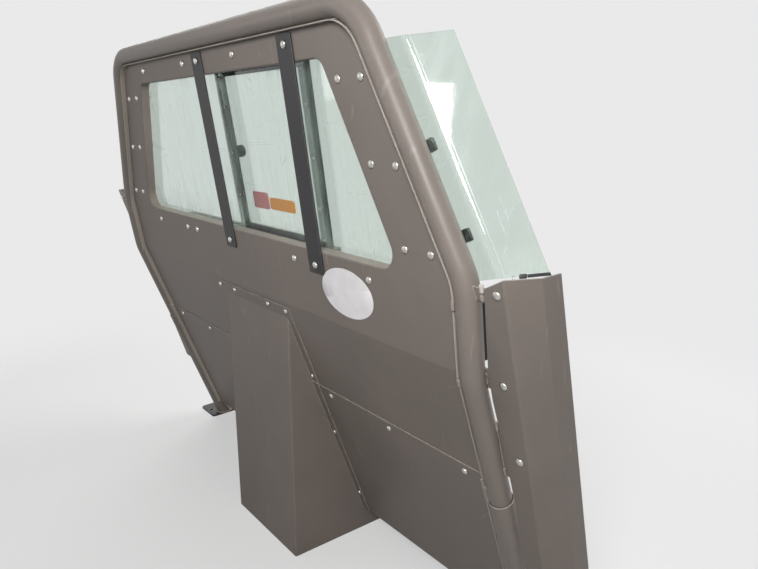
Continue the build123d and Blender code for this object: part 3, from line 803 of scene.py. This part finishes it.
# All beads, the same on both sides: the coated ones, and the one at the top of each wing's tabs, whose
# near-white colour is a painted highlight
def weldMeshes(weld):
    steps, tube, hoop = weld["steps"], layout["tubeRadius"], layout["hoopHalfWidth"]
    meshes, bright = [], []

    def lay(face, x, rows, out, radius=weld["radius"], kept=meshes):
        kept.append(weldBead(faceLine(face, x, rows, out, steps), radius, weld))

    for side in (-1, 1):
        for face, spans in (("upper", weld["panelUpper"]), ("lower", weld["panelLower"])):
            for rows in spans:
                lay(face, side * (hoop - weld["besideTube"]), rows, weld["panelOut"], weld["panelRadius"])
        for spot, kept in ((weld["tabTop"], bright), (weld["tabLug"], meshes)):
            lay("wing", side * (hoop + spot["x"]), spot["rows"], -layout["sheet"], spot["radius"], kept)
        for rows in weld["wingTabs"]:
            root = tabRoot(np.linspace(*rows, steps), -layout["sheet"])
            lay("wing", side * (root + weld["tabGap"]), rows, -weld["seat"])
        for rows in weld["panelTabs"]:
            root = hoopX(np.linspace(*rows, steps)) - np.sqrt(tube ** 2 - layout["tabFront"] ** 2)
            lay("upper", side * root, rows, -layout["tabFront"] - weld["seat"])
        for rows in weld["bracket"]:
            for edge in (-1, 1):
                x = side * hoop + edge * (layout["bracketHalf"] + weld["seat"])
                lay("upper", x, rows, -tube - weld["bracketSeat"])
        meshes.append(footBead(side, weld))
    return meshes, bright


coatedBeads, highlightedTabBeads = weldMeshes(weldBeads)
weldFinish = {"slot": "taupe_coat", "sharpAngle": weldBeads["sharpAngle"]}
# Both kinds of bead are coloured lighter than the coat as painted highlights, the tab welds near white
addPiece("weldBeads", joined(*coatedBeads), materials["weld"], **weldFinish)
addPiece("tabWelds", joined(*highlightedTabBeads), materials["tabWeldHighlight"], **weldFinish)
print("welds made")

# The panels' edges, turned up beside the tube, and the rounded rims of the leg sleeves, both coated lighter
# than the panels as a painted highlight
edges = {
    "thickness": 0.0024,
    "height": 0.0106,
    "lowHeight": 0.0100,
    "sunk": 0.0004,
    "round": 0.001,
    "roundSteps": 4,
    "arcSteps": 14,
    "rimSteps": 64,
    "rimSegments": 12,
}


# Middle line of the hoop's right half from the crease up, as x and row, and its direction. With u the way
# before a round corner and n square to it, inwards, the corner is an arc about the point
# C = corner - R·tan(turn / 2)·u + R·n, and its point at angle a is C + R·(sin a·u - cos a·n)
def hoopLine(steps):
    corners = np.array([
        (layout["hoopHalfWidth"], 0.0),
        (layout["hoopHalfWidth"], layout["shoulderHeight"]),
        (layout["hoopTopHalfWidth"], layout["hoopTopHeight"]),
        (0.0, layout["hoopTopHeight"]),
    ])
    places, ways = [corners[:1]], [np.array([[0.0, 1.0]])]
    for number, radius in ((1, layout["shoulderRadius"]), (2, layout["cornerRadius"])):
        before, after = corners[number] - corners[number - 1], corners[number + 1] - corners[number]
        before, after = before / np.linalg.norm(before), after / np.linalg.norm(after)
        inwards = np.array([-before[1], before[0]])
        turn = np.arccos(before @ after)
        middle = corners[number] - radius * np.tan(turn / 2) * before + radius * inwards
        angle = np.linspace(0, turn, steps)[:, None]
        places.append(middle + radius * (np.sin(angle) * before - np.cos(angle) * inwards))
        ways.append(np.cos(angle) * before + np.sin(angle) * inwards)
    return np.vstack(places), np.vstack(ways)


# Outline of an upturned edge across its length: a thin upright whose top corners are quarter circles
def flangeSection(edge, height):
    half, rim = edge["thickness"] / 2, edge["round"]
    angle = np.linspace(0, np.pi / 2, edge["roundSteps"])
    right = np.column_stack([half - rim + rim * np.cos(angle), height - rim + rim * np.sin(angle)])
    left = np.column_stack([-right[::-1, 0], right[::-1, 1]])
    return np.vstack([[[half, -edge["sunk"]]], right, left, [[-half, -edge["sunk"]]]])


# The section's corners (a, b) on a lower panel at one row: a counts inwards from the tube, b off the sheet
def lowerRing(side, row, inset, section):
    across = side * (layout["hoopHalfWidth"] - inset - section[:, 0])
    return onFace("lower", np.column_stack([across, np.full(len(section), row), section[:, 1]]))


# Each ring is a point of the hoop's middle line, plus (d + a) inwards and b off the sheet for each corner
# (a, b) of the section. At the crease it lies on the plane that halves the fold, b·tan(half the fold) lower
def flangeMeshes(edge):
    section = flangeSection(edge, edge["height"])
    inset = layout["tubeRadius"] + layout["panelGap"] + edge["thickness"] / 2
    places, ways = hoopLine(edge["arcSteps"])
    places = np.vstack([places, places[::-1] * [-1, 1]])
    ways = np.vstack([ways, ways[::-1] * [1, -1]])
    axes, middle = faces["upper"]
    inward = ways[:, 1:] * -axes[0] + ways[:, :1] * axes[1]
    axisPoints = np.column_stack([places, np.zeros(len(places))]) @ axes + middle
    reaches = (inset + section[:, 0])[None, :, None]
    upper = axisPoints[:, None] + reaches * inward[:, None] + section[:, 1][:, None] * axes[2]
    mitre = np.tan(np.radians(layout["lowerLean"] - layout["upperLean"]) / 2)
    upper[[0, -1]] -= (mitre * section[:, 1])[:, None] * axes[1]
    ends = [lowerRing(side, layout["seamRow"], inset, section)[None] for side in (1, -1)]
    meshes = [strip(np.concatenate([ends[0], upper, ends[1]]))]
    lowInset = layout["legRadius"] + layout["panelGap"] + edge["thickness"] / 2
    lowSection = flangeSection(edge, edge["lowHeight"]) + [0, layout["sheet"]]
    for side in (-1, 1):
        rings = [lowerRing(side, row, lowInset, lowSection) for row in (layout["toeRow"], layout["seamRow"])]
        meshes.append(strip(np.stack(rings[::side])))
    return meshes


addPiece("panelEdges", joined(*flangeMeshes(edges)), materials["edgeHighlightCoat"], slot="taupe_coat")
rimHalf = layout["legWall"] / 2
rim = ring(layout["legRadius"] - rimHalf, rimHalf, edges["rimSteps"], edges["rimSegments"])
rimAxes = faces["lower"][0][[0, 2, 1]] * np.array([[1], [-1], [1]])
rimPlaces = onFace("lower", [(side * layout["hoopHalfWidth"], layout["legTop"], 0) for side in (-1, 1)])
addPiece("legRims", placed(rim, rimPlaces, rimAxes), materials["weld"], slot="taupe_coat")
print("panel edges and leg rims made")

# Clamps that hold the clear wings on the tube, and the two small fittings under each wing's lower edge
clearFittings = {
    "squareness": 8.0,
    "edgeSteps": 5,
    "clampRows": (0.2055, 0.326),
    "clampAcross": 0.0099,
    "clampHalf": (0.0075, 0.0095),
    "clampThickness": 0.006,
    "clampEdge": 0.0015,
    "clampSegments": 48,
    "screwRadius": 0.0032,
    "clipReach": 0.033,
    "clipHalf": (0.0048, 0.0032),
    "clipThickness": 0.0022,
    "clipEdge": 0.0008,
    "clipSegments": 40,
    "pinReach": 0.0205,
    "pinRadius": 0.0012,
    "pinLength": 0.0065,
    "pinSunk": 0.002,
    "pinSegments": 16,
}


# On one side: along the slanting tube, across it, forward, and across the clear wing's outer face
def clearAxes(side):
    right, up, out = faces["upper"][0]
    along = (up - side * hoopSlope * right) / np.hypot(1, hoopSlope)
    across = (side * right + hoopSlope * up) / np.hypot(1, hoopSlope)
    turn = np.radians(layout["clearTurn"])
    return along, across, -out, np.cos(turn) * across - np.sin(turn) * out


# Clamps and screws stand square on the clear wing's tail, clips and pins on its lower edge
def fittingMeshes(fit):
    black, bright = [], []
    back, thick, low = -layout["clearBack"], layout["clearThickness"], layout["clearLow"]
    clamp = roundedPlate(
        fit["clampHalf"], fit["clampThickness"], fit["clampEdge"], fit["clampSegments"], fit
    )
    clipHeight = thick + fit["clipThickness"]
    clip = roundedPlate(fit["clipHalf"], clipHeight, fit["clipEdge"], fit["clipSegments"], fit)
    screw = domedHead(boltLook, fit["screwRadius"])
    pin = sleeve(fit["pinRadius"], fit["pinLength"], fit["pinSegments"])
    for side in (-1, 1):
        along, across, forward, outer = clearAxes(side)
        clampAxes = np.array([-side * across, along, forward])
        for row in fit["clampRows"]:
            middle = onFace("upper", [(side * (hoopX(row) + fit["clampAcross"]), row, back - thick)])
            black.append(placed(clamp, middle, clampAxes))
            bright.append(placed(screw, middle + forward * fit["clampThickness"], clampAxes))
        # The lower edge lies in the plane whose normal is up - rise·outwards + fall·forward
        right, up, out = faces["upper"][0]
        normal = up - side * layout["clearRise"] * right - layout["clearFall"] * out
        corner = onFace("upper", [(side * (hoopX(low) + layout["clearOutset"]), low, back)])
        edgeAlong = outer - along * (outer @ normal) / (along @ normal)
        edgeAlong = edgeAlong / np.linalg.norm(edgeAlong)
        rearward = side * np.cross(outer, along)
        upward = side * np.cross(rearward, edgeAlong)
        middle = corner + edgeAlong * fit["clipReach"] - rearward * thick
        black.append(placed(clip, middle, np.array([side * edgeAlong, upward, rearward])))
        foot = corner + edgeAlong * fit["pinReach"] - rearward * thick / 2 + upward * fit["pinSunk"]
        bright.append(placed(pin, foot, np.array([edgeAlong, side * rearward, -upward])))
    return black, bright


blackFittings, brightFittings = fittingMeshes(clearFittings)
addPiece("clearWingClamps", joined(*blackFittings), materials["black_plastic"], slot="black_plastic")
addPiece("clearWingScrews", joined(*brightFittings), materials["zinc"])
print("clear wing fittings made")

# Stickers: a blank white oval on the panel, two blank patches on the hatch. A power of 2 makes an ellipse,
# and a high one nearly a rectangle
patchBack = -layout["hatchPaneBack"]
stickers = {
    "ovalSticker": {
        "place": (0.377, 0.069, 0), "half": (0.0725, 0.046), "power": 2.0, "thickness": 0.0004,
        "vinyl": "whiteVinyl", "body": "partition",
    },
    "redPatch": {
        "place": (0.069, 0.200, patchBack), "half": (0.0315, 0.0175), "power": 12.0, "thickness": 0.0003,
        "vinyl": "redVinyl", "body": "hatch",
    },
    "orangePatch": {
        "place": (0.151, 0.197, patchBack), "half": (0.047, 0.0125), "power": 12.0, "thickness": 0.0003,
        "vinyl": "orangeVinyl", "body": "hatch",
    },
}
filmRim = {"outerHeight": 0.6, "topInset": 0.4, "innerRing": 0.5, "segments": 96}


# A thin film whose rim is rounded: rings go out at the bottom, round the edge and back in at the top
def film(half, power, thickness, rim):
    inwards = rim["topInset"] * thickness / min(half)
    profile = [
        [0, 0], [1, 0], [1, thickness * rim["outerHeight"]], [1 - inwards, thickness],
        [rim["innerRing"], thickness], [0, thickness],
    ]
    return turnedSolid(profile, roundedRectangle(*half, power, rim["segments"]))


for name, sticker in stickers.items():
    solid = film(sticker["half"], sticker["power"], sticker["thickness"], filmRim)
    mesh = placed(solid, onFace("upper", [sticker["place"]]), faces["upper"][0])
    addPiece(name, mesh, materials[sticker["vinyl"]], body=sticker["body"])
print("stickers made")


# Floor, lamps and the pale surroundings
studio = {
    "floorSize": 40.0,
    "floorColour": (0.86, 0.86, 0.855, 1.0),
    "floorBounce": (0.16, 0.16, 0.157, 1.0),
    "floorRoughness": 0.9,
    "floorFade": (0.7, 2.3),
    "floorGlow": 0.5,
    "skyStrength": 0.13,
    "skyColour": (1.0, 1.0, 1.0, 1.0),
    "backdrop": (0.82, 0.82, 0.82, 1.0),
}
lamps = {
    "keyLamp": {"place": (1.35, -1.3, 1.45), "aim": (0.3, -0.2, 0.6), "size": (0.6, 0.6), "power": 27.0},
    "tallLamp": {"place": (2.3, -0.3, 0.8), "aim": (0.66, -0.2, 0.7), "size": (0.2, 1.3), "power": 2.2},
    "sideLamp": {"place": (-2.3, 0.9, 1.9), "aim": (-0.2, -0.1, 0.6), "size": (1.8, 1.8), "power": 34.0},
    "leftLamp": {"place": (-1.4, -1.9, 1.1), "aim": (-0.4, -0.2, 0.6), "size": (0.8, 0.8), "power": 5.0},
    "frontLamp": {"place": (0.8, 2.8, 2.4), "aim": (0.0, 0.0, 0.6), "size": (2.4, 2.4), "power": 74.0},
}


# 1 for what the camera, glass and, if wanted, gloss see, 0 for the light that surfaces throw on each other
def seenDirectly(tree, gloss=True):
    path = addNode(tree, "LightPath")
    seen = sums(tree, "MAXIMUM", path.outputs["Is Camera Ray"], path.outputs["Is Transmission Ray"])
    return sums(tree, "MAXIMUM", seen, path.outputs["Is Glossy Ray"]) if gloss else seen


# Pale paper that keeps the object's shadow, glowing a little nearby and fading into the backdrop further out
def layFloor(studio):
    half = studio["floorSize"] / 2
    data = bpy.data.meshes.new("studioFloor")
    corners = [(-half, -half, 0), (half, -half, 0), (half, half, 0), (-half, half, 0)]
    data.from_pydata(corners, [], [(0, 1, 2, 3)])
    material, tree = newMaterial("studioFloor")
    seen = seenDirectly(tree)
    colour = mixed(tree, seen, studio["floorBounce"], studio["floorColour"])
    paper = addNode(tree, "BsdfPrincipled", {"Base Color": colour, "Roughness": studio["floorRoughness"]})
    distance = addNode(tree, "VectorMath", {0: objectPlace(tree)}, operation="LENGTH").outputs["Value"]
    start, end = studio["floorFade"]
    sockets = {"Value": distance, "From Min": start, "From Max": end}
    fade = addNode(tree, "MapRange", sockets, interpolation_type="SMOOTHERSTEP").outputs[0]
    glow = addNode(tree, "Emission", {"Color": studio["backdrop"], "Strength": 1.0})
    near = sums(tree, "MULTIPLY", seenDirectly(tree, gloss=False), studio["floorGlow"])
    share = sums(tree, "MAXIMUM", sums(tree, "MULTIPLY", seen, fade), near)
    both = addNode(tree, "MixShader", {0: share, 1: paper.outputs[0], 2: glow.outputs[0]})
    addNode(tree, "OutputMaterial", {"Surface": both.outputs[0]})
    data.materials.append(material)
    floor = bpy.data.objects.new("studioFloor", data)
    bpy.context.scene.collection.objects.link(floor)


# Each lamp's back points from its aim to its place. Lamps light and shine in gloss, but can't be seen
def hangLamps(lamps):
    for name, lamp in lamps.items():
        data = bpy.data.lights.new(name, "AREA")
        data.shape = "RECTANGLE"
        data.size, data.size_y = lamp["size"]
        data.energy = lamp["power"]
        light = bpy.data.objects.new(name, data)
        back = Vector(lamp["place"]) - Vector(lamp["aim"])
        turn = back.to_track_quat("Z", "Y").to_matrix().to_4x4()
        light.matrix_world = Matrix.Translation(lamp["place"]) @ turn
        light.visible_camera = light.visible_transmission = False
        bpy.context.scene.collection.objects.link(light)


# What the camera, gloss and glass see is the pale backdrop; the surfaces get the softer sky
def setSky(studio):
    world = bpy.data.worlds.new("studioSky")
    world.use_nodes = True
    tree = world.node_tree
    tree.nodes.clear()
    soft = addNode(tree, "Background", {"Color": studio["skyColour"], "Strength": studio["skyStrength"]})
    pale = addNode(tree, "Background", {"Color": studio["backdrop"], "Strength": 1.0})
    both = addNode(tree, "MixShader", {0: seenDirectly(tree), 1: soft.outputs[0], 2: pale.outputs[0]})
    addNode(tree, "OutputWorld", {"Surface": both.outputs[0]})
    bpy.context.scene.world = world


layFloor(studio)
hangLamps(lamps)
setSky(studio)
bpy.context.scene.view_settings.view_transform = "Standard"
print("studio lit")
